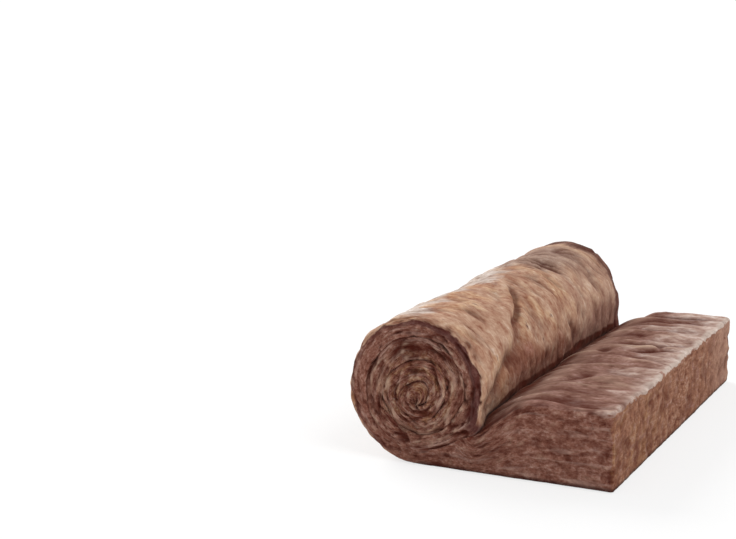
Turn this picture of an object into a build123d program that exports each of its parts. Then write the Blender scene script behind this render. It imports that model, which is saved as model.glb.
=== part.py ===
from build123d import *
import math
import os

# A glass mineral wool roll, partly unrolled: one long blanket, sold tightly wound, whose leading
# length lies flat on the floor and has sprung back to its full thickness.
#
# Frame: X runs along the unrolled length, towards its free end. Y is the roll's axis.
# Z is up, with the floor at 0. The origin is the middle of the footprint.
# All sizes are in millimetres.

# The blanket
blanket_width = 570.0       # across the roll, between the two slit edges
blanket_thickness = 100.0   # where it lies free
free_end_reach = 258.0      # from the roll's axis to the cut across the free end
free_end_edge_radius = 5.0  # the knife-cut edges are blunted by handling

# The roll
roll_height = 192.0     # floor to the top of the outer turn
turn_thickness = 24.0   # the wool is squeezed to less than a quarter in the wound turns
turn_sag = 4.0          # how much lower each turn lies in the one round it
turn_gap = 1.0          # the parting line between one turn and the next
eye_diameter = 10.0     # the hole that the innermost turn curls round

# The wedge where the blanket leaves the roll
crevice_angle = 30.0    # how far below the outer turn's centre the roll meets the blanket
crevice_flare = 6.0     # the angle between the roll and the blanket at the crevice's mouth
rise_radius = 80.0      # the blanket's first bend, where it springs up out of the crevice
gentle_slope = 20.0     # where the first bend passes into the second, which levels out

outer_radius = roll_height / 2
half_pitch = turn_thickness / 2
eye_radius = eye_diameter / 2
roll_axis_x = (outer_radius - free_end_reach) / 2
free_end_x = roll_axis_x + free_end_reach


def half_turn_radius(k):
    """The outer face of the k-th half turn: each one is about half a turn's thickness smaller."""
    return outer_radius - k * half_pitch + (k % 2) * turn_sag / 2


def half_turn_centre(k):
    """Left and right half turns differ in centre as in radius, so that they run on smoothly."""
    return outer_radius - (k // 2) * turn_sag + (k % 2) * (half_pitch - turn_sag / 2)


def half_turn_count():
    """As many half turns as leave the innermost one wider than the eye."""
    return int((outer_radius - eye_diameter) / half_pitch)


def rolled_at(k, radius, angle):
    """A point of the k-th half turn at an angle above the horizontal, on its own side."""
    side = 1 if k % 2 else -1
    return Vector(
        roll_axis_x + side * radius * math.cos(math.radians(angle)),
        half_turn_centre(k) + radius * math.sin(math.radians(angle)),
    )


def half_turn(k, radius, low, high, rising):
    """One arc of the spiral, between two angles above the horizontal."""
    ends = [rolled_at(k, radius, low), rolled_at(k, radius, high)]
    middle = rolled_at(k, radius, (low + high) / 2)
    if not rising:
        ends.reverse()
    return ThreePointArc(ends[0], middle, ends[1])


def outer_face():
    """The blanket's lower face: from the floor up round the roll, and in turn by turn."""
    for k in range(half_turn_count() + 1):
        half_turn(k, half_turn_radius(k), -90, 90, rising=k % 2 == 0)


def inner_face():
    """The blanket's upper face, from the eye back out to the crevice, one gap off the next turn."""
    for k in range(half_turn_count(), 1, -1):
        half_turn(k, half_turn_radius(k) + turn_gap, -90, 90, rising=k % 2 == 1)
    half_turn(1, half_turn_radius(1) + turn_gap, -90, -crevice_angle, rising=True)


def eye():
    """The round hole at the spiral's end, which joins the blanket's two faces."""
    last = half_turn_count()
    way = 1 if last % 2 == 0 else -1
    near = rolled_at(last, half_turn_radius(last), way * 90)
    far = rolled_at(last, half_turn_radius(last) + turn_gap, way * 90)
    depth = math.sqrt(eye_radius**2 - (turn_gap / 2) ** 2)
    ThreePointArc(near, (near + far) / 2 + Vector(way * (depth + eye_radius), 0), far)


def on_bend(start, radius, steep, slope):
    """Where a bend that starts out steep has come down to this slope, in degrees."""
    steep, slope = math.radians(steep), math.radians(slope)
    run = radius * (math.sin(steep) - math.sin(slope))
    return start + Vector(run, radius * (math.cos(slope) - math.cos(steep)))


def bend(start, radius, steep, gentle):
    """An arc that levels out from one slope to another, and the place where it ends."""
    end = on_bend(start, radius, steep, gentle)
    ThreePointArc(start, on_bend(start, radius, steep, (steep + gentle) / 2), end)
    return end


def unrolled_top():
    """The upper face from the crevice: two bends up to the full thickness, then level."""
    start = rolled_at(1, half_turn_radius(1) + turn_gap, -crevice_angle)
    middle = bend(start, rise_radius, 90 - crevice_angle - crevice_flare, gentle_slope)
    rest_of_rise = blanket_thickness - middle.Y
    level_radius = rest_of_rise / (1 - math.cos(math.radians(gentle_slope)))
    level = bend(middle, level_radius, gentle_slope, 0)
    Line(level, (free_end_x, blanket_thickness))


def section():
    """The blanket's edge: one closed line round both faces, seen along the roll's axis."""
    with BuildSketch(Plane.XZ) as sketch:
        with BuildLine():
            Line((free_end_x, 0), (roll_axis_x, 0))
            outer_face()
            eye()
            inner_face()
            unrolled_top()
            Line((free_end_x, blanket_thickness), (free_end_x, 0))
        make_face()
        fillet(sketch.vertices().group_by(Axis.X)[-1], free_end_edge_radius)
    return sketch.sketch


def wool_blanket():
    """The whole blanket, as wide as it was slit."""
    return extrude(section(), amount=blanket_width / 2, both=True)


os.makedirs("parts", exist_ok=True)
blanket = wool_blanket()
blanket.label = "wool_blanket"
export_step(blanket, "parts/wool_blanket.step")
print("half turns", half_turn_count(), "volume in litres", round(blanket.volume / 1e6, 2))
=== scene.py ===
import functools
import math

import bmesh
import bpy
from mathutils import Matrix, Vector, geometry, noise


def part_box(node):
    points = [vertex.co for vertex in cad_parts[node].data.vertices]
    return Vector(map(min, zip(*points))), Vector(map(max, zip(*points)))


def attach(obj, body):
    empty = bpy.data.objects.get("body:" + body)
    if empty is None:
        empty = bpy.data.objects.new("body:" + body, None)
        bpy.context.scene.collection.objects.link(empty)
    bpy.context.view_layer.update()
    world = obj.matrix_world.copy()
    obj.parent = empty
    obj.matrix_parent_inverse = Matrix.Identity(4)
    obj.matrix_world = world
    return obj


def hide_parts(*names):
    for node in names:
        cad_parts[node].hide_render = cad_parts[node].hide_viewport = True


# An unwrapped roll of brown glass mineral wool, partly unrolled, on a studio floor.
# Metres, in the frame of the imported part: +X towards the free end, +Y along the roll, +Z up.
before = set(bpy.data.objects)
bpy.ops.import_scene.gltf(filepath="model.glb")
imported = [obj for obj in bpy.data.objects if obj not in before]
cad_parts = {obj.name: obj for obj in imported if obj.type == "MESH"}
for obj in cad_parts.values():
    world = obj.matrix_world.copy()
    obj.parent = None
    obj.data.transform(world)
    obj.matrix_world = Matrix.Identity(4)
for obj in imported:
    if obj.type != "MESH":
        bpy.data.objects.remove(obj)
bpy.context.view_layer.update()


# The photographer's camera: a long lens, a little above the roll and to the right of its near end.
# The roll lies low and to the right in the picture.
camera_place = (0.7133, -2.0601, 0.6413)
camera_turn = math.radians(25.93)
camera_tilt = math.radians(11.33)
lens_length = 78.5
sensor_width = 36.0

camera_data = bpy.data.cameras.new("camera")
camera_data.lens = lens_length
camera_data.sensor_width = sensor_width
camera = bpy.data.objects.new("camera", camera_data)
camera.location = camera_place
camera.rotation_euler = (math.pi / 2 - camera_tilt, 0, camera_turn)
bpy.context.scene.collection.objects.link(camera)
bpy.context.scene.camera = camera


# The blanket: glass fibre, spun, sprayed with a brown binder and cured as one endless flat slab.
# The slab is slit to width, squeezed and wound, and the leading length springs back where it is
# rolled out. So the mesh starts as the flat slab too, and is wound station by station.
low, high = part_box("wool_blanket")
blanket_width = high.y - low.y
free_thickness = 0.100
roll_height = high.z - low.z
outer_radius = roll_height / 2
roll_axis_x = low.x + outer_radius
free_end_x = high.x
unrolled_length = free_end_x - roll_axis_x

turn_thickness = 0.024
turn_sag = 0.004
turn_gap = 0.001
half_turns = 8
core_radius = 0.0015

crevice_angle = math.radians(30)
crevice_flare = math.radians(6)
steep_slope = math.pi / 2 - crevice_angle - crevice_flare
rise_radius = 0.080
gentle_slope = math.radians(20)


def half_turn_radius(k):
    """The lower face's radius in the k-th half turn, from the outside in."""
    return outer_radius - k * turn_thickness / 2 + (k % 2) * turn_sag / 2


def half_turn_centre(k):
    """The height of that half turn's centre."""
    return outer_radius - (k // 2) * turn_sag + (k % 2) * (turn_thickness - turn_sag) / 2


half_turn_starts = [unrolled_length]
for k in range(half_turns):
    half_turn_starts.append(half_turn_starts[-1] + math.pi * half_turn_radius(k))
blanket_length = half_turn_starts[-1]

crevice_radius = half_turn_radius(1) + turn_gap
crevice_x = roll_axis_x + crevice_radius * math.cos(crevice_angle)
crevice_z = half_turn_centre(1) - crevice_radius * math.sin(crevice_angle)
middle_x = crevice_x + rise_radius * (math.sin(steep_slope) - math.sin(gentle_slope))
middle_z = crevice_z + rise_radius * (math.cos(gentle_slope) - math.cos(steep_slope))
level_radius = (free_thickness - middle_z) / (1 - math.cos(gentle_slope))


def unrolled_top(x):
    """The height of the upper face over x, from below the roll to the free end."""
    if x < crevice_x:
        return half_turn_centre(1) - math.sqrt(crevice_radius**2 - (x - roll_axis_x) ** 2)
    bend_x, bend_z, radius, slope = crevice_x, crevice_z, rise_radius, steep_slope
    if x > middle_x:
        bend_x, bend_z, radius, slope = middle_x, middle_z, level_radius, gentle_slope
    sine = math.sin(slope) - (x - bend_x) / radius
    if sine < 0:
        return free_thickness
    return bend_z + radius * (math.sqrt(1 - sine**2) - math.cos(slope))


def on_half_turn(centre, radius, angle, side):
    """A point of the section, at an angle above the horizontal on the right or the left side."""
    x = roll_axis_x + side * radius * math.cos(angle)
    return Vector((x, 0, centre + radius * math.sin(angle)))


@functools.lru_cache(maxsize=None)
def faces_at(s):
    """The section's points on the blanket's lower and upper face, s metres from the free end."""
    if s <= unrolled_length:
        x = free_end_x - s
        return Vector((x, 0, 0)), Vector((x, 0, unrolled_top(x)))
    k = 0
    while k < half_turns - 1 and s > half_turn_starts[k + 1]:
        k += 1
    share = (s - half_turn_starts[k]) / (half_turn_starts[k + 1] - half_turn_starts[k])
    side = 1 if k % 2 else -1
    angle = side * math.pi * (0.5 - share)
    lower = on_half_turn(half_turn_centre(k), half_turn_radius(k), angle, side)
    if k < half_turns - 1:
        upper_radius = half_turn_radius(k + 2) + turn_gap
        upper = on_half_turn(half_turn_centre(k + 2), upper_radius, angle, side)
    else:
        core_foot = half_turn_centre(k + 1) - half_turn_radius(k + 1) - turn_gap
        upper = on_half_turn(core_foot + core_radius, core_radius, angle, side)
    return lower, upper


# The flat slab, one unit each way, cut into cells: X is the length, Y the width, Z the thickness.
station_length = 0.003
crowding = 0.45
station_digits = 5
slit_cells = 11
width_cells = 6
fine_cells = 32
halved_from = (0.028, 0.060)
cell_tolerance = 1e-4
stations = round(blanket_length / station_length)

slab = bmesh.new()
bmesh.ops.create_cube(slab, size=1)
bmesh.ops.translate(slab, verts=slab.verts, vec=(0.5, 0, 0.5))


def edges_along(axis, wanted=lambda middle: True):
    """The slab's edges along one of its axes, of those whose middle is wanted."""
    found = []
    for edge in slab.edges:
        a, b = (v.co for v in edge.verts)
        if abs((b - a)[axis]) > cell_tolerance and wanted((a + b) / 2):
            found.append(edge)
    return found


def cut(edges, pieces):
    """Cuts each edge, and the faces between the edges, into so many even pieces."""
    bmesh.ops.subdivide_edges(slab, edges=edges, cuts=pieces - 1, use_grid_fill=True)


def station_s(share):
    """How far from the free end a station lies: they crowd together towards the tight core."""
    return round(blanket_length * share * (1 + crowding * (1 - share)), station_digits)


hidden_margin = 0.02
crevice_s = half_turn_starts[1] + half_turn_radius(1) * (math.pi / 2 + crevice_angle)
tail_top_s = free_end_x - crevice_x


def shown(middle):
    """Whether a place shows: the roll's outside, the unrolled top or the free end."""
    s = station_s(middle.x)
    on_end = middle.x < cell_tolerance
    on_outside = middle.z < cell_tolerance and (
        unrolled_length - hidden_margin < s < crevice_s + hidden_margin)
    on_top = middle.z > 1 - cell_tolerance and s < tail_top_s + hidden_margin
    return on_end or on_outside or on_top


def thicker_than(least):
    """A test for places where the blanket is thicker than this, at its slit edges or free end."""
    def test(middle):
        lower, upper = faces_at(station_s(middle.x))
        return (upper - lower).length > least
    return test


cut(edges_along(0), stations)
cut(edges_along(2), slit_cells)
for least in halved_from:
    cut(edges_along(2, thicker_than(least)), 2)
cut(edges_along(1), width_cells)
cut(edges_along(1, shown), fine_cells)
bmesh.ops.triangulate(slab, faces=[face for face in slab.faces if len(face.verts) > 4])


def smooth_share(value, start, end):
    """0 before start, 1 after end, and a soft step between."""
    share = min(1, max(0, (value - start) / (end - start)))
    return share * share * (3 - 2 * share)


def at_least(least, share):
    """A share brought up to between this least value and 1."""
    return least + (1 - least) * share


def ripple(a, b, long, wide, height, seed):
    """Smooth hills and hollows so long, so wide and up to about so high."""
    return height * noise.noise(Vector((a / long, b / wide, seed)))


def furrow(a, b, long, wide, depth, seed):
    """Sharp winding valleys between broad backs, which come and go along their way."""
    valley_share = 0.17
    none_below, whole_from = -0.1, 0.25
    presence_seed = seed + 40
    course = abs(noise.noise(Vector((a / long, b / wide, seed))))
    presence = noise.noise(Vector((a / long, b / wide / 2, presence_seed)))
    presence = smooth_share(presence, none_below, whole_from)
    return -depth * presence * max(0, 1 - course / valley_share)


def beside(a, b, path):
    """How far to the left of a path a place lies, and how near to the path's middle, up to 1."""
    fading_power = 0.7
    here = Vector((a, b))
    offset, middleness = 1.0, 0.0
    for i, (start, end) in enumerate(zip(path, path[1:])):
        start, end = Vector(start), Vector(end)
        share = geometry.intersect_point_line(here, start, end)[1]
        share = min(1, max(0, share))
        away = (here - start.lerp(end, share)).length
        if away < abs(offset):
            left = (end - start).cross(here - start)
            offset = math.copysign(away, left)
            middleness = math.sin(math.pi * (i + share) / (len(path) - 1)) ** fading_power
    return offset, middleness


def crease(a, b, path, width, depth, heap):
    """A fold along a path, deepest in its middle, with the wool heaped up on the path's left."""
    bank_offset, bank_width = 2.4 * width, 1.7 * width
    offset, middleness = beside(a, b, path)
    valley = -depth * math.exp(-((offset / width) ** 2))
    bank = heap * math.exp(-(((offset - bank_offset) / bank_width) ** 2))
    return (valley + bank) * middleness


def shade_beside_path(a, b, path, reach):
    """A painted shade on the right of a path, darkest next to it."""
    clean_from, dark_from, full_reach = -0.002, 0.004, 0.3 * reach
    offset, middleness = beside(a, b, path)
    beginning = smooth_share(-offset, clean_from, dark_from)
    return middleness * beginning * (1 - smooth_share(-offset, full_reach, reach))


def roll_s(angle):
    """The place along the blanket of an angle on the roll's right side, above the horizontal."""
    return half_turn_starts[1] + half_turn_radius(1) * (math.pi / 2 - math.radians(angle))


sharp_fold = [(roll_s(38), -0.140), (roll_s(41), -0.110), (roll_s(49), -0.082),
              (roll_s(58), -0.062), (roll_s(75), -0.030)]
soft_fold = [(roll_s(-30), -0.275), (roll_s(-11), -0.250), (roll_s(7), -0.207),
             (roll_s(13), -0.178), (roll_s(20), -0.142), (roll_s(40), -0.120)]
top_fold = [(0.006, 0.046), (0.050, 0.032), (0.102, 0.006)]
puckered_spot = (roll_s(79), 0.120)
puckered_radius = 0.030
puckered_depth = 0.0012
drawn_slant = 0.25
broad_share = 0.65


def outside_relief(s, y):
    """The roll's outer face: the broad lumps, and the streaks, creases and folds on them."""
    drawn, across = s + drawn_slant * y, y - drawn_slant * s
    lumps = ripple(s, y, long=0.110, wide=0.100, height=0.0040, seed=3.1)
    lumps += ripple(s, y, long=0.045, wide=0.040, height=0.0036, seed=7.7)
    fold = crease(s, y, soft_fold, width=0.0120, depth=0.0080, heap=0.0056)
    lumps += broad_share * fold
    detail = ripple(drawn, across, long=0.034, wide=0.014, height=0.0024, seed=2.6)
    detail += ripple(drawn, across, long=0.022, wide=0.0075, height=0.0011, seed=1.3)
    detail += furrow(drawn, across, long=0.050, wide=0.022, depth=0.0022, seed=9.4)
    detail += crease(s, y, sharp_fold, width=0.0052, depth=0.0065, heap=0.0040)
    detail += (1 - broad_share) * fold
    from_spot = (Vector((s, y)) - Vector(puckered_spot)).length
    puckers = ripple(drawn, across, long=0.040, wide=0.006, height=0.0110, seed=6.3)
    detail += math.exp(-((from_spot / puckered_radius) ** 2)) * (puckers - puckered_depth)
    return lumps, detail


def top_relief(s, y):
    """The unrolled upper face: ripples along the length, with sharp valleys between them."""
    lumps = ripple(s, y, long=0.100, wide=0.045, height=0.0050, seed=5.2)
    detail = ripple(s, y, long=0.080, wide=0.018, height=0.0042, seed=2.2)
    detail += ripple(s, y, long=0.040, wide=0.0100, height=0.0009, seed=6.1)
    detail += furrow(s, y, long=0.110, wide=0.030, depth=0.0050, seed=8.8)
    detail += furrow(s, y, long=0.060, wide=0.018, depth=0.0014, seed=4.6)
    detail += crease(s, y, top_fold, width=0.0045, depth=0.0060, heap=0.0030)
    detail *= at_least(0.30, smooth_share(s, 0, 0.045))
    return lumps, detail


def slit_relief(s, depth, side):
    """A slit edge: turns that stand in and out, and layers, cracks and clumps along them."""
    wound_share = smooth_share(s, tail_top_s, crevice_s)
    lumps = ripple(s, 0, long=0.130, wide=1, height=0.0050, seed=4.4 * side)
    lumps += ripple(s, depth, long=0.050, wide=0.030, height=0.0026, seed=1.9 * side)
    detail = ripple(s, depth, long=0.024, wide=0.0056, height=0.0034, seed=1.7 * side)
    detail += furrow(s, depth, long=0.045, wide=0.014, depth=0.0048, seed=8.9 * side)
    detail *= at_least(0.45, wound_share)
    detail += ripple(s, depth, long=0.009, wide=0.007, height=0.0026, seed=5.3 * side)
    return lumps, detail


def end_relief(y, z):
    """The cut free end: upright tufts between winding cracks, which lean a little."""
    leaning, leaning_back = y - 0.3 * z, y + 0.4 * z
    lumps = ripple(y, z, long=0.060, wide=0.050, height=0.0030, seed=3.7)
    detail = ripple(leaning, z, long=0.018, wide=0.021, height=0.0020, seed=2.9)
    detail += ripple(leaning_back, z, long=0.0085, wide=0.010, height=0.0015, seed=6.6)
    detail += furrow(leaning, z, long=0.034, wide=0.040, depth=0.0020, seed=1.2)
    detail *= at_least(0.25, smooth_share(free_thickness - z, 0.004, 0.022))
    return lumps, detail


def rounded(distances, radius):
    """Distances from a box's faces, of a point on it, once the box's edges are rounded."""
    reach = Vector([max(0, radius - d) for d in distances])
    if reach.length == 0:
        return distances
    pull = reach.normalized() * radius
    return [radius - p if p > 0 else d for d, p in zip(distances, pull)]


# Where nothing holds the wool in, near a slit edge, the outer turn swells over the crevice. It
# presses the unrolled length's upper face down there.
free_share = 0.20
loose_edge = 0.006
held_edge = 0.050
swelling = 0.012
swelling_start = math.radians(8)
swelling_reach = math.radians(23)
pressing = 0.0185
pressing_start_x = crevice_x + 0.010
pressing_end_x = crevice_x + 0.075
halvings = 16


def edge_share(edge):
    """How free the wool is at this distance from a slit edge."""
    return at_least(free_share, 1 - smooth_share(edge, loose_edge, held_edge))


def swelling_at(angle):
    """How far the outer turn swells over the crevice, at an angle below the roll's middle."""
    rise = smooth_share(angle, swelling_start, crevice_angle)
    fall = smooth_share(angle, crevice_angle, crevice_angle + swelling_reach)
    return swelling * rise * (1 - fall)


def swollen_point(angle, share):
    """A point of the swollen outer turn, at an angle below the roll's middle."""
    s = half_turn_starts[1] + half_turn_radius(1) * (math.pi / 2 + angle)
    lower, upper = faces_at(s)
    return lower + (lower - upper).normalized() * share * swelling_at(angle)


@functools.lru_cache(maxsize=None)
def pressed_by(x, share):
    """How far the swollen turn presses the unrolled length down at x."""
    if x < roll_axis_x:
        return 0
    if x > swollen_point(crevice_angle, share).x:
        return pressing * share * (1 - smooth_share(x, pressing_start_x, pressing_end_x))
    shallow, steep = crevice_angle, math.pi / 2
    for _ in range(halvings):
        angle = (shallow + steep) / 2
        if swollen_point(angle, share).x > x:
            shallow = angle
        else:
            steep = angle
    return unrolled_top(x) - swollen_point(angle, share).z


# The blunted edges, by the radius of their rounding.
floor_edge_radius = 0.004
rim_radius = 0.0085
far_rim_radius = 0.0045
turn_edge_radius = 0.0032
top_edge_radius = 0.006
near_shoulder_radius = 0.012
shoulder_length = 0.07
sharpened_share = 0.7
sharpened_from_s = tail_top_s - 0.028
sharpened_whole_s = tail_top_s - 0.008
pressed_rim_s = roll_s(5)
sharp_rim_s = roll_s(-22)

# How the relief fades below the skin, into the crevice and on the floor, which grips the wool.
# Between two turns the wool is matted together or has parted.
skin = 0.006
mouth_fade = 0.012
lifted_height = 0.02
layer_stretch = 1.4
grip = 0.75
grip_height = 0.020
matted_share = 0.45
matted_from_edge = 0.010
matted_whole_from_edge = 0.020
parting_size = 0.017
parted_from = 0.18
parted_whole_from = 0.70
unparted_length = 0.09

# The whole section is warped a little: most at the core, less at the rim, and not on the floor.
ring_warp = 0.0060
rim_warp = 0.0016
warp_seed = 5
ring_size = 0.036
unwarped_height = 0.03
core_reach = 0.03
warp_stretch = 0.3
clear_of_floor = 0.0002

slab_place = slab.verts.layers.float_vector.new("slab_place")
buried_by = slab.verts.layers.float_vector.new("buried_by")
proud = slab.verts.layers.float.new("proud")
painted_fold_shade = slab.verts.layers.float.new("painted_fold_shade")

# Each point lies s from the free end and y from the middle of the width. Its t is 0 on the
# blanket's lower face and 1 on its upper face.
noise.seed_set(warp_seed)
for v in slab.verts:
    s = station_s(v.co.x)
    y = v.co.y * blanket_width
    t = v.co.z
    side = 1 if y > 0 else -1
    lower, upper = faces_at(s)
    thickness = (upper - lower).length
    outward = (lower - upper) / thickness
    below, above = t * thickness, (1 - t) * thickness
    edge = blanket_width / 2 - abs(y)
    layer = t * min(free_thickness, layer_stretch * thickness)
    v[slab_place] = (s, y, layer)
    v[buried_by] = (below, above, s)

    rolled = s > unrolled_length / 2
    lifted = smooth_share(lower.z, 0.0, lifted_height) if rolled else 0
    outermost = lifted * (1 - smooth_share(s, crevice_s - mouth_fade, crevice_s))
    unrolled = 1 - smooth_share(s, tail_top_s - mouth_fade, tail_top_s)
    on_outside = (1 - smooth_share(below, 0, skin)) * outermost
    on_top = (1 - smooth_share(above, 0, skin)) * unrolled
    on_slit = 1 - smooth_share(edge, 0, 2 * skin)
    on_end = 1 - smooth_share(s, 0, 2 * skin)

    down = up = out = forward = detail_sum = 0.0
    if on_outside:
        lumps, detail = outside_relief(s, y)
        down = (lumps + detail) * on_outside
        detail_sum += detail * on_outside
        # Painted shade beside the soft fold, on the side its bank hides from the light.
        v[painted_fold_shade] = shade_beside_path(s, y, soft_fold, reach=0.070)
    if on_top:
        lumps, detail = top_relief(s, y)
        up = (lumps + detail) * on_top
        detail_sum += detail * on_top
    if on_slit:
        lumps, detail = slit_relief(s, layer, side)
        out = (lumps + detail) * on_slit
        detail_sum += detail * on_slit
    if on_end:
        lumps, detail = end_relief(y, below)
        forward = (lumps + detail) * on_end
        detail_sum += detail * on_end
    if s < unrolled_length:
        held = grip * (1 - smooth_share(below, 0, grip_height))
        out *= 1 - held
        forward *= 1 - held
    v[proud] = detail_sum

    # The outer turn swells over the crevice, and presses the unrolled length down there.
    if half_turn_starts[1] < s < half_turn_starts[2]:
        below_middle = (s - half_turn_starts[1]) / half_turn_radius(1) - math.pi / 2
        down += edge_share(edge) * swelling_at(below_middle) * (1 - t)
    if s < unrolled_length:
        up -= pressed_by(free_end_x - s, round(edge_share(edge), 3)) * t

    # Between two turns the wool has parted in some places, and is matted together in others.
    # It hasn't parted where the roll's weight rests on it.
    flat = lower.lerp(upper, t) / parting_size
    parted = noise.noise(Vector((flat.x, side, flat.z)))
    parted = smooth_share(parted, parted_from, parted_whole_from)
    if s < unrolled_length or abs(s - half_turn_starts[2]) < unparted_length:
        parted = 0.0
    near_edge = 1 - smooth_share(edge, matted_from_edge, matted_whole_from_edge)
    matted = matted_share * turn_gap * (1 - smooth_share(parted, 0.5, 1)) * near_edge
    if s > tail_top_s:
        up += matted * (1 - smooth_share(above, 0, skin))
    if s > crevice_s:
        down += matted * (1 - smooth_share(below, 0, skin))

    # The edges are blunted: least between two turns, most at the roll's rim and near shoulder.
    loose = outermost * (1 - smooth_share(s, pressed_rim_s, sharp_rim_s))
    free_radius = rim_radius if side < 0 else far_rim_radius
    lower_radius = floor_edge_radius + (free_radius - floor_edge_radius) * loose
    upper_radius = turn_edge_radius * parted
    if s < tail_top_s:
        shoulder = smooth_share(s, tail_top_s - shoulder_length, tail_top_s) if side < 0 else 0
        in_crevice = smooth_share(s, sharpened_from_s, sharpened_whole_s)
        upper_radius = top_edge_radius + (near_shoulder_radius - top_edge_radius) * shoulder
        upper_radius *= 1 - sharpened_share * in_crevice
    elif s > crevice_s:
        lower_radius = upper_radius
    radius = min(lower_radius * (1 - t) + upper_radius * t, thickness / 2)
    from_end, buried, edge = rounded((s, min(below, above), edge), radius)
    below = buried if below <= above else thickness - buried
    place = lower.lerp(upper, below / thickness)
    place.x -= from_end - s

    from_axis = Vector((place.x - roll_axis_x, place.z - outer_radius)).length
    near_axis = 1 - smooth_share(from_axis, core_reach, outer_radius)
    warp = rim_warp + (ring_warp - rim_warp) * near_axis
    warp *= smooth_share(place.z, 0.0, unwarped_height)
    shake = noise.noise_vector(Vector((place.x, y * warp_stretch, place.z)) / ring_size)

    place += outward * (down - up)
    place.x += forward + shake.x * warp
    place.z = max(clear_of_floor, place.z + shake.z * warp)
    place.y = side * (blanket_width / 2 - edge + out)
    v.co = place

bmesh.ops.recalc_face_normals(slab, faces=slab.faces)
for face in slab.faces:
    face.smooth = True
wool_mesh = bpy.data.meshes.new("wool")
slab.to_mesh(wool_mesh)
slab.free()
wool = bpy.data.objects.new("wool", wool_mesh)
bpy.context.scene.collection.objects.link(wool)


def colour(code):
    """A colour written as six hexadecimal digits, as a screen shows it, in linear light."""
    parts = [int(code[i:i + 2], 16) / 255 for i in (0, 2, 4)]
    return [p / 12.92 if p <= 0.04045 else ((p + 0.055) / 1.055) ** 2.4 for p in parts] + [1]


class Nodes:
    """Adds nodes to one material's or group's tree, and links what it is given to their sockets."""

    def __init__(self, tree):
        self.tree = tree

    def add(self, kind, inputs=None, **settings):
        node = self.tree.nodes.new(kind)
        for name, value in settings.items():
            setattr(node, name, value)
        for socket, value in (inputs or {}).items():
            if isinstance(value, bpy.types.NodeSocket):
                self.tree.links.new(value, node.inputs[socket])
            else:
                node.inputs[socket].default_value = value
        return node

    def math(self, operation, a, b=0.0, clamp=False):
        node = self.add("ShaderNodeMath", {0: a, 1: b}, operation=operation, use_clamp=clamp)
        return node.outputs[0]

    def sum(self, *parts):
        """The sum of (value, weight) pairs."""
        total = 0.0
        for value, weight in parts:
            total = self.math("ADD", total, self.math("MULTIPLY", value, weight))
        return total

    def around(self, tone, size):
        """A noise tone as a length: up to about half this size, either way."""
        return self.math("MULTIPLY", self.math("SUBTRACT", tone, 0.5), size)

    def stretch(self, vector, sizes):
        """A place divided by sizes, so that a pattern of size 1 gets those sizes in metres."""
        scale = tuple(1 / size for size in sizes)
        node = self.add("ShaderNodeVectorMath", {0: vector, 1: scale}, operation="MULTIPLY")
        return node.outputs[0]

    def from_spot(self, vector, middle, sizes):
        """How far a place lies from the middle of a spot, in its sizes along each axis."""
        away = self.add("ShaderNodeVectorMath", {0: vector, 1: middle}, operation="SUBTRACT")
        away = self.stretch(away.outputs[0], sizes)
        return self.add("ShaderNodeVectorMath", {0: away}, operation="LENGTH").outputs["Value"]

    def noise(self, vector, detail=3.0, roughness=0.55, distortion=0.0):
        inputs = {"Vector": vector, "Scale": 1.0, "Detail": detail,
                  "Roughness": roughness, "Distortion": distortion}
        return self.add("ShaderNodeTexNoise", inputs).outputs["Fac"]

    def step(self, value, start, end):
        """A soft step from 0 at start to 1 at end, or the other way if end is lower."""
        ends = (start, end, 0.0, 1.0) if start < end else (end, start, 1.0, 0.0)
        inputs = {"Value": value, "From Min": ends[0], "From Max": ends[1],
                  "To Min": ends[2], "To Max": ends[3]}
        return self.add("ShaderNodeMapRange", inputs, interpolation_type="SMOOTHSTEP").outputs[0]

    def both(self, a, b):
        """The product of two masks."""
        return self.math("MULTIPLY", a, b)

    def mix(self, share, a, b):
        """Colour a with this share of colour b over it."""
        return self.add("ShaderNodeMix", {0: share, 6: a, 7: b}, data_type="RGBA").outputs[2]

    def ramp(self, value, stops):
        """A colour ramp through (place, colour code) stops."""
        node = self.add("ShaderNodeValToRGB", {0: value})
        elements = node.color_ramp.elements
        while len(elements) < len(stops):
            elements.new(0.5)
        for element, (place, code) in zip(elements, stops):
            element.position = place
            element.color = colour(code)
        return node.outputs[0]


# Drawn fibres: wavy locks, strands and hairs along X, and the thin bright hairs on top of them.
fibres = bpy.data.node_groups.new("drawn_fibres", "ShaderNodeTree")
fibres.interface.new_socket("Place", in_out="INPUT", socket_type="NodeSocketVector")
fibres.interface.new_socket("Tone", in_out="OUTPUT", socket_type="NodeSocketFloat")
drawn = Nodes(fibres)
fibre_place = drawn.add("NodeGroupInput").outputs["Place"]
wave_sizes = (0.013, 0.013, 0.013)
wave_heights = (0.006, 0.012, 0.012)
thinness = 22.0

waves = drawn.add("ShaderNodeTexNoise", {
    "Vector": drawn.stretch(fibre_place, wave_sizes), "Scale": 1.0, "Detail": 2.0})
waves = drawn.add("ShaderNodeVectorMath", {
    0: waves.outputs["Color"], 1: (0.5, 0.5, 0.5)}, operation="SUBTRACT")
waves = drawn.add("ShaderNodeVectorMath", {
    0: waves.outputs[0], 1: wave_heights}, operation="MULTIPLY")
wavy = drawn.add("ShaderNodeVectorMath", {0: fibre_place, 1: waves.outputs[0]}, operation="ADD")
wavy = wavy.outputs[0]
locks = drawn.noise(drawn.stretch(wavy, (0.015, 0.0085, 0.0085)), detail=2)
strands = drawn.noise(drawn.stretch(wavy, (0.0075, 0.0030, 0.0030)), detail=2)
hairs = drawn.noise(drawn.stretch(wavy, (0.0045, 0.0013, 0.0013)), detail=1)
course = drawn.noise(drawn.stretch(wavy, (0.009, 0.0030, 0.0030)), detail=2, distortion=0.4)
course = drawn.math("ABSOLUTE", drawn.math("SUBTRACT", course, 0.5))
bright = drawn.math("SUBTRACT", 1.0, drawn.math("MULTIPLY", course, thinness), clamp=True)
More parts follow.
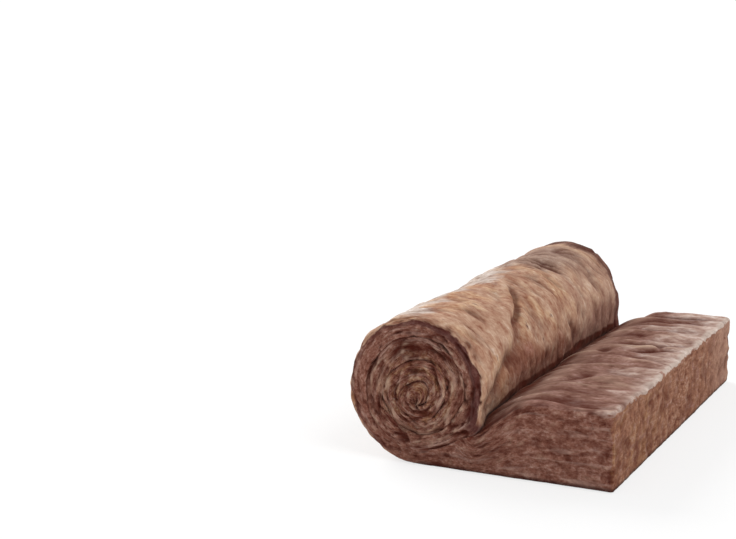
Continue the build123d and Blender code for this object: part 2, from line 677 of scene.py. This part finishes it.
tone = drawn.sum((locks, 0.50), (strands, 0.40), (hairs, 0.08), (bright, 0.03))
drawn.add("NodeGroupOutput", {"Tone": tone})

# The wool's paint is laid out on the flat slab, so that it follows the blanket round the roll.
finish = bpy.data.materials.new("glass_wool")
finish.use_nodes = True
mat = Nodes(finish.node_tree)
shader = finish.node_tree.nodes["Principled BSDF"]
wool_place = mat.add("ShaderNodeAttribute", attribute_name="slab_place").outputs["Vector"]
buried = mat.add("ShaderNodeAttribute", attribute_name="buried_by").outputs["Vector"]
buried = mat.add("ShaderNodeSeparateXYZ", {0: buried})
relief = mat.add("ShaderNodeAttribute", attribute_name="proud").outputs["Fac"]
fold_shade = mat.add("ShaderNodeAttribute", attribute_name="painted_fold_shade").outputs["Fac"]


def fibre_tone(turn, size):
    """The drawn fibres, turned in the slab by so many degrees about each axis, and enlarged."""
    turn = [math.radians(angle) for angle in turn]
    turned = mat.add("ShaderNodeMapping", {
        "Vector": wool_place, "Rotation": turn, "Scale": [1 / size] * 3}).outputs[0]
    node = mat.add("ShaderNodeGroup", node_tree=fibres)
    mat.tree.links.new(turned, node.inputs["Place"])
    return node.outputs["Tone"]


wound = fibre_tone((0, 0, -14), size=1.25)
level = fibre_tone((0, 0, 4), size=1.4)
layers = fibre_tone((0, 0, 0), size=0.85)
upright = fibre_tone((0, 75, 0), size=0.9)

patches = mat.noise(mat.stretch(wool_place, (0.060, 0.045, 0.03)), detail=3)
spread = mat.noise(mat.stretch(wool_place, (0.030, 0.022, 0.012)), detail=3, roughness=0.6)
clumps = mat.noise(mat.stretch(wool_place, (0.010, 0.010, 0.006)), detail=3, roughness=0.6)
crumbs = mat.noise(mat.stretch(wool_place, (0.0048, 0.0048, 0.0030)), detail=3, roughness=0.65)

along = buried.outputs["Z"]
across = mat.add("ShaderNodeSeparateXYZ", {0: wool_place}).outputs["Y"]
ragged = mat.around(spread, 0.020)
from_lower = mat.math("ADD", buried.outputs["X"], ragged)
from_upper = mat.math("ADD", buried.outputs["Y"], ragged)
from_end = mat.math("ADD", along, ragged)
from_far_edge = mat.math("ADD", mat.math("SUBTRACT", blanket_width / 2, across), ragged)
real_place = mat.add("ShaderNodeTexCoord").outputs["Object"]
core_place = (roll_axis_x, -blanket_width / 2, roll_height / 2)
from_core = mat.add("ShaderNodeVectorMath", {0: real_place, 1: core_place}, operation="DISTANCE")
from_core = from_core.outputs["Value"]

# The roll's outside: a painted highlight behind its top, weathered far back, painted shade
# beside the soft fold and over the crevice, and a dark red painted shade in the crevice's mouth.
outside_tone = mat.sum((wound, 0.44), (spread, 0.34), (clumps, 0.14), (crumbs, 0.08))
outside = mat.ramp(outside_tone, [
    (0.31, "6a3b2d"), (0.40, "936450"), (0.48, "ae866f"), (0.57, "c7a68f"), (0.69, "f3e8dc")])
golden = mat.ramp(outside_tone, [
    (0.31, "6a3b27"), (0.40, "97664c"), (0.48, "b3876a"), (0.57, "ccaa8c"), (0.69, "f4e8d9")])
outside = mat.mix(mat.step(patches, 0.48, 0.64), outside, golden)
# Painted highlight: a pale, near-white band behind the roll's top, where the light grazes it.
highlight_tone = mat.ramp(outside_tone, [
    (0.32, "7a5f52"), (0.41, "a38e82"), (0.48, "c4b6ac"), (0.56, "e2dad4"), (0.66, "fffefc")])
top_s = half_turn_starts[1]
wandering = mat.around(patches, 0.16)
front = mat.step(mat.math("ADD", along, wandering), top_s + 0.002, top_s - 0.028)
back = mat.step(mat.sum((along, 1.0), (wandering, 0.5)), top_s - 0.088, top_s - 0.056)
ends = mat.both(mat.step(across, 0.15, 0.06), mat.step(across, -0.286, -0.258))
highlight_band = mat.both(mat.both(front, back), ends)
outside = mat.mix(mat.both(highlight_band, 0.80), outside, highlight_tone)
weather = mat.from_spot(wool_place, (roll_s(92), 0.165, 0), (0.062, 0.105, 1))
weather = mat.step(mat.sum((weather, 1.0), (wandering, 3.0)), 1.20, 0.45)
weathered = mat.ramp(outside_tone, [
    (0.32, "4a3026"), (0.40, "6c4f41"), (0.48, "88695a"), (0.57, "a78c7e"), (0.68, "dccdc3")])
outside = mat.mix(mat.both(weather, 0.95), outside, weathered)
# Painted shade: darker red-brown where the fold and the unrolled length hide the light.
shade_tone = mat.ramp(outside_tone, [
    (0.35, "5a2a20"), (0.45, "744234"), (0.52, "8c5a4a"), (0.64, "b5887a")])
# Painted shade beside the soft fold, fading out towards the near end.
fold_shade = mat.both(fold_shade, mat.step(across, -0.27, -0.12))
outside = mat.mix(mat.both(fold_shade, 0.75), outside, shade_tone)
# Painted shade over the crevice, fading out towards the near end.
shaded = mat.step(mat.sum((along, 1.0), (wandering, 0.8)), crevice_s - 0.072, crevice_s - 0.030)
shaded = mat.both(shaded, mat.step(across, -0.22, -0.13))
outside = mat.mix(mat.both(shaded, 0.90), outside, shade_tone)
outside = mat.mix(mat.both(mat.step(across, 0.02, 0.16), 0.20), outside, colour("bda698"))
near_mouth = mat.step(across, -0.165, -0.235)
# Painted shade: a dark red line in the crevice's mouth, lower on the roll towards the near end.
crevice_mouth_shade = mat.sum((along, 1.0), (near_mouth, roll_s(-18) - roll_s(-30)))
crevice_mouth_shade = mat.step(crevice_mouth_shade, roll_s(-16), roll_s(-19))
outside = mat.mix(mat.both(crevice_mouth_shade, 0.90), outside, colour("56190b"))
# A dark band round the far rim: partly the slit edge's own colour over the rounded rim, partly
# painted shade where the rim curves away.
far_rim = mat.both(mat.step(from_far_edge, 0.031, 0.017), mat.step(along, roll_s(150), roll_s(112)))
outside = mat.mix(mat.both(far_rim, 0.88), outside, mat.ramp(outside_tone, [
    (0.34, "2e1515"), (0.42, "3f201e"), (0.50, "522c28"), (0.62, "7c5046")]))

# The unrolled top: painted light towards the free end, darker on the near shoulder,
# and painted shade in the crevice under the roll.
top_tone = mat.sum((level, 0.54), (spread, 0.34), (clumps, 0.12))
top = mat.ramp(top_tone, [
    (0.30, "4f2c1f"), (0.40, "6a463c"), (0.49, "815c50"), (0.58, "9c786d"), (0.69, "d8c2b7")])
# Painted light: paler towards the free end and the far side, out of the roll's shadow.
lit_towards_end = mat.sum((along, 1.0), (wandering, 1.25), (across, -0.12))
top = mat.mix(mat.both(mat.step(lit_towards_end, 0.075, 0.010), 0.68), top, mat.ramp(top_tone, [
    (0.32, "7c574b"), (0.41, "a38376"), (0.49, "c0a699"), (0.57, "dbcac0"), (0.67, "f8f2ec")]))
from_near_edge = mat.math("ADD", across, blanket_width / 2)
shoulder = mat.sum((from_near_edge, 1.0), (ragged, 0.5))
shoulder = mat.both(mat.step(shoulder, 0.020, 0.010), mat.step(along, -0.040, 0.070))
top = mat.mix(mat.both(shoulder, 0.75), top, mat.ramp(top_tone, [
    (0.30, "4c2a25"), (0.40, "69443b"), (0.49, "80584e"), (0.58, "9a7065"), (0.69, "c4a498")]))
# Painted light on a strip of the top beside the crevice, lifting the shade that falls there.
lit_beside_crevice = mat.both(mat.step(along, tail_top_s - 0.080, tail_top_s - 0.055),
                          mat.step(along, tail_top_s - 0.036, tail_top_s - 0.046))
top = mat.mix(mat.both(lit_beside_crevice, 0.35), top, colour("c09a88"))
# Painted shade: dark red in the crevice, on the unrolled top under the roll.
crevice_shade_on_top = mat.sum((along, 1.0), (near_mouth, -0.014))
crevice_shade_on_top = mat.step(crevice_shade_on_top, tail_top_s - 0.041, tail_top_s - 0.029)
top = mat.mix(mat.both(crevice_shade_on_top, 0.78), top, colour("5c2010"))

# The slit edges: layers and crumbs, with pale crescents, dark seams and a scorch over the core.
wound_edge = mat.step(along, crevice_s - 0.12, crevice_s)
layered = mat.sum((layers, 0.36), (spread, 0.20), (clumps, 0.14), (crumbs, 0.30))
mottled = mat.sum((layers, 0.22), (spread, 0.15), (clumps, 0.17), (crumbs, 0.30), (1.0, 0.08))
more_layered = mat.both(wound_edge, mat.math("SUBTRACT", layered, mottled))
slit_tone = mat.sum((mottled, 1.0), (more_layered, 1.0))
slit = mat.ramp(slit_tone, [
    (0.36, "3c1a12"), (0.43, "683d31"), (0.50, "85584a"), (0.57, "a37a6c"), (0.66, "d2b5a8")])
olive = mat.ramp(slit_tone, [
    (0.36, "3c190c"), (0.43, "693c27"), (0.50, "875b42"), (0.57, "a58064"), (0.66, "d4bc9f")])
near_core = mat.both(mat.step(from_core, 0.070, 0.035), mat.step(spread, 0.49, 0.58))
slit = mat.mix(mat.both(near_core, 0.8), slit, olive)
outer_rings = mat.both(mat.step(from_core, 0.045, 0.065),
                       mat.step(along, crevice_s - 0.05, crevice_s))
slit = mat.mix(mat.both(outer_rings, 0.14), slit, colour("3a2020"))
crescents = mat.noise(mat.stretch(wool_place, (0.075, 0.075, 0.0095)), detail=2)
slit = mat.mix(mat.both(mat.step(crescents, 0.56, 0.68), 0.36), slit, colour("c2a193"))
above_floor = mat.add("ShaderNodeSeparateXYZ", {0: real_place}).outputs["Z"]
pale_ring = mat.both(mat.step(from_core, 0.040, 0.050), mat.step(from_core, 0.074, 0.062))
pale_ring = mat.both(pale_ring, mat.step(above_floor, 0.150, 0.100))
pale_ring = mat.both(pale_ring, mat.both(mat.step(crescents, 0.44, 0.54), wound_edge))
slit = mat.mix(mat.both(pale_ring, 0.30), slit, colour("b8917c"))
scorch_place = (roll_axis_x - 0.015, -blanket_width / 2, roll_height / 2 + 0.050)
scorch = mat.from_spot(real_place, scorch_place, (0.034, 1, 0.017))
scorch = mat.step(mat.sum((scorch, 1.0), (ragged, 70.0)), 1.2, 0.3)
slit = mat.mix(mat.both(scorch, 0.60), slit, colour("43190e"))
seams = mat.noise(mat.stretch(wool_place, (0.055, 0.055, 0.0042)), detail=2)
seams = mat.step(mat.math("ABSOLUTE", mat.math("SUBTRACT", seams, 0.5)), 0.034, 0.006)
seams = mat.both(seams, mat.step(clumps, 0.40, 0.52))
seams = mat.both(seams, mat.sum((wound_edge, 0.55), (1.0, 0.12)))
slit = mat.mix(seams, slit, colour("36110a"))

# The cut free end: upright tufts, bronze towards the near corner and paler at the far one.
end_tone = mat.sum((upright, 0.28), (spread, 0.38), (clumps, 0.18), (crumbs, 0.16))
cut_end = mat.ramp(end_tone, [
    (0.34, "54281b"), (0.42, "75493a"), (0.50, "92654f"), (0.57, "ae8770"), (0.66, "dfc8b6")])
bronze = mat.ramp(end_tone, [
    (0.33, "5a2e17"), (0.42, "7c4f36"), (0.50, "986d50"), (0.57, "b69173"), (0.66, "e2ceb6")])
bronzed = mat.both(mat.step(patches, 0.46, 0.64), mat.step(across, 0.05, -0.22))
cut_end = mat.mix(bronzed, cut_end, bronze)
reddish = mat.noise(mat.stretch(wool_place, (1, 0.040, 0.035)), detail=3, roughness=0.6)
cut_end = mat.mix(mat.both(mat.step(reddish, 0.50, 0.62), 0.45), cut_end, colour("5f2f24"))
cut_end = mat.mix(mat.both(mat.step(across, 0.13, 0.26), 0.32), cut_end, colour("c8a694"))

# The zones over each other: the slit edges and the end, the dark rims, the outside and the top,
# the painted contact shadow at the foot, and last the relief's painted shade and highlights.
rolled_edge = mat.step(along, crevice_s + 0.02, crevice_s)
off_floor = mat.step(along, unrolled_length + 0.02, unrolled_length + 0.06)
on_rim = mat.both(mat.step(along, roll_s(120), roll_s(90)), rolled_edge)
paint = mat.mix(mat.step(from_end, 0.004, 0.0), slit, cut_end)
# A dark band along the outer turn on the near end: partly its own darker colour, partly painted
# shade where its rounded rim curves away.
rim_band = mat.both(on_rim, mat.step(from_lower, 0.017, 0.011))
paint = mat.mix(mat.both(rim_band, 0.72), paint, colour("4c2829"))
left_rim = mat.both(mat.step(along, roll_s(90), roll_s(110)), off_floor)
left_rim = mat.both(left_rim, mat.step(from_lower, 0.012, 0.004))
paint = mat.mix(mat.both(left_rim, 0.55), paint, colour("44242a"))
over_rim = mat.both(mat.step(along, crevice_s + 0.001, crevice_s - 0.010), off_floor)
over_rim = mat.both(over_rim, mat.step(from_lower, 0.0055, 0.003))
paint = mat.mix(over_rim, paint, outside)
# Painted highlight: a cream line along the top edge over the free end.
edge_highlight = mat.both(mat.step(from_end, 0.010, 0.002), mat.step(across, -0.27, -0.10))
top = mat.mix(mat.both(edge_highlight, 0.45), top, colour("e6d8cc"))
on_tail = mat.step(along, tail_top_s + 0.01, tail_top_s)
paint = mat.mix(mat.both(on_tail, mat.step(from_upper, 0.0050, 0.003)), paint, top)
# Painted contact shadow: a dark line along the unrolled length's foot, on the floor.
contact_shadow = mat.both(mat.step(buried.outputs["X"], 0.0080, 0.0025),
                mat.step(along, unrolled_length + 0.012, unrolled_length - 0.008))
paint = mat.mix(mat.both(contact_shadow, 0.75), paint, colour("2e1517"))
# Painted shade, dark red, in the hollows of the relief.
hollow_shade = mat.step(relief, 0.0006, -0.0035)
paint = mat.mix(mat.both(hollow_shade, 0.70), paint, colour("470f05"))
# Painted highlight on the crests of the relief, left off the near rim's dark band.
crest_highlight = mat.both(mat.step(relief, 0.0004, 0.0040), mat.math("SUBTRACT", 1.0, rim_band))
paint = mat.mix(mat.both(crest_highlight, 0.45), paint, colour("dcc0a8"))
mat.tree.links.new(paint, shader.inputs["Base Color"])

# The finest relief is drawn by the same fibres. The crumbs are left off the blanket's two faces.
bump_depth = 0.006
inside = mat.both(mat.step(buried.outputs["X"], 0.002, 0.006),
                  mat.step(buried.outputs["Y"], 0.002, 0.006))
height = mat.sum((wound, 0.28), (level, 0.28), (clumps, 0.16), (mat.both(crumbs, inside), 0.30))
bump = mat.add("ShaderNodeBump", {"Strength": 1.0, "Distance": bump_depth, "Height": height})
mat.tree.links.new(bump.outputs[0], shader.inputs["Normal"])
shader.inputs["Roughness"].default_value = 0.95
shader.inputs["Specular IOR Level"].default_value = 0.05
shader.inputs["Sheen Weight"].default_value = 0.05
shader.inputs["Sheen Roughness"].default_value = 0.5
shader.inputs["Sheen Tint"].default_value = colour("f4dcc4")
wool_mesh.materials.append(finish)
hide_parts("wool_blanket")
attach(wool, "root")


# The studio: a white floor under soft light from all round, and no wall that shows.
# To the camera alone, most of the floor is a white glow, which runs into the white behind it.
floor_size = 20
floor_white = (0.95, 0.95, 0.95, 1)
floor_glow = 0.70
sky_strength = 0.5

floor_mesh = bpy.data.meshes.new("floor")
floor_build = bmesh.new()
bmesh.ops.create_grid(floor_build, x_segments=1, y_segments=1, size=floor_size)
floor_build.to_mesh(floor_mesh)
floor_build.free()
floor = bpy.data.objects.new("floor", floor_mesh)
bpy.context.scene.collection.objects.link(floor)
floor_paint = bpy.data.materials.new("floor")
floor_paint.use_nodes = True
floor_nodes = Nodes(floor_paint.node_tree)
floor_shader = floor_paint.node_tree.nodes["Principled BSDF"]
floor_shader.inputs["Base Color"].default_value = floor_white
floor_shader.inputs["Roughness"].default_value = 1.0
floor_shader.inputs["Specular IOR Level"].default_value = 0.0
seen = floor_nodes.add("ShaderNodeLightPath").outputs["Is Camera Ray"]
glow = floor_nodes.add("ShaderNodeEmission").outputs[0]
glow_share = floor_nodes.math("MULTIPLY", seen, floor_glow)
blend = floor_nodes.add("ShaderNodeMixShader", {0: glow_share, 1: floor_shader.outputs[0], 2: glow})
surface = floor_paint.node_tree.nodes["Material Output"].inputs["Surface"]
floor_paint.node_tree.links.new(blend.outputs[0], surface)
floor_mesh.materials.append(floor_paint)

world = bpy.data.worlds.new("studio")
world.use_nodes = True
sky = world.node_tree.nodes["Background"]
sky.inputs["Color"].default_value = (1, 1, 1, 1)
sky.inputs["Strength"].default_value = sky_strength
bpy.context.scene.world = world


def sun(name, strength, softness, azimuth, elevation):
    """A wide, soft lamp. Azimuth 0 shines along +Y and 90 along -X."""
    data = bpy.data.lights.new(name, "SUN")
    data.energy = strength
    data.angle = math.radians(softness)
    lamp = bpy.data.objects.new(name, data)
    lamp.rotation_euler = (math.radians(90 - elevation), 0, math.radians(azimuth))
    bpy.context.scene.collection.objects.link(lamp)


sun("key", strength=1.4, softness=40, azimuth=75, elevation=50)
sun("rim", strength=2.5, softness=40, azimuth=240, elevation=28)
bpy.context.scene.view_settings.view_transform = "Standard"
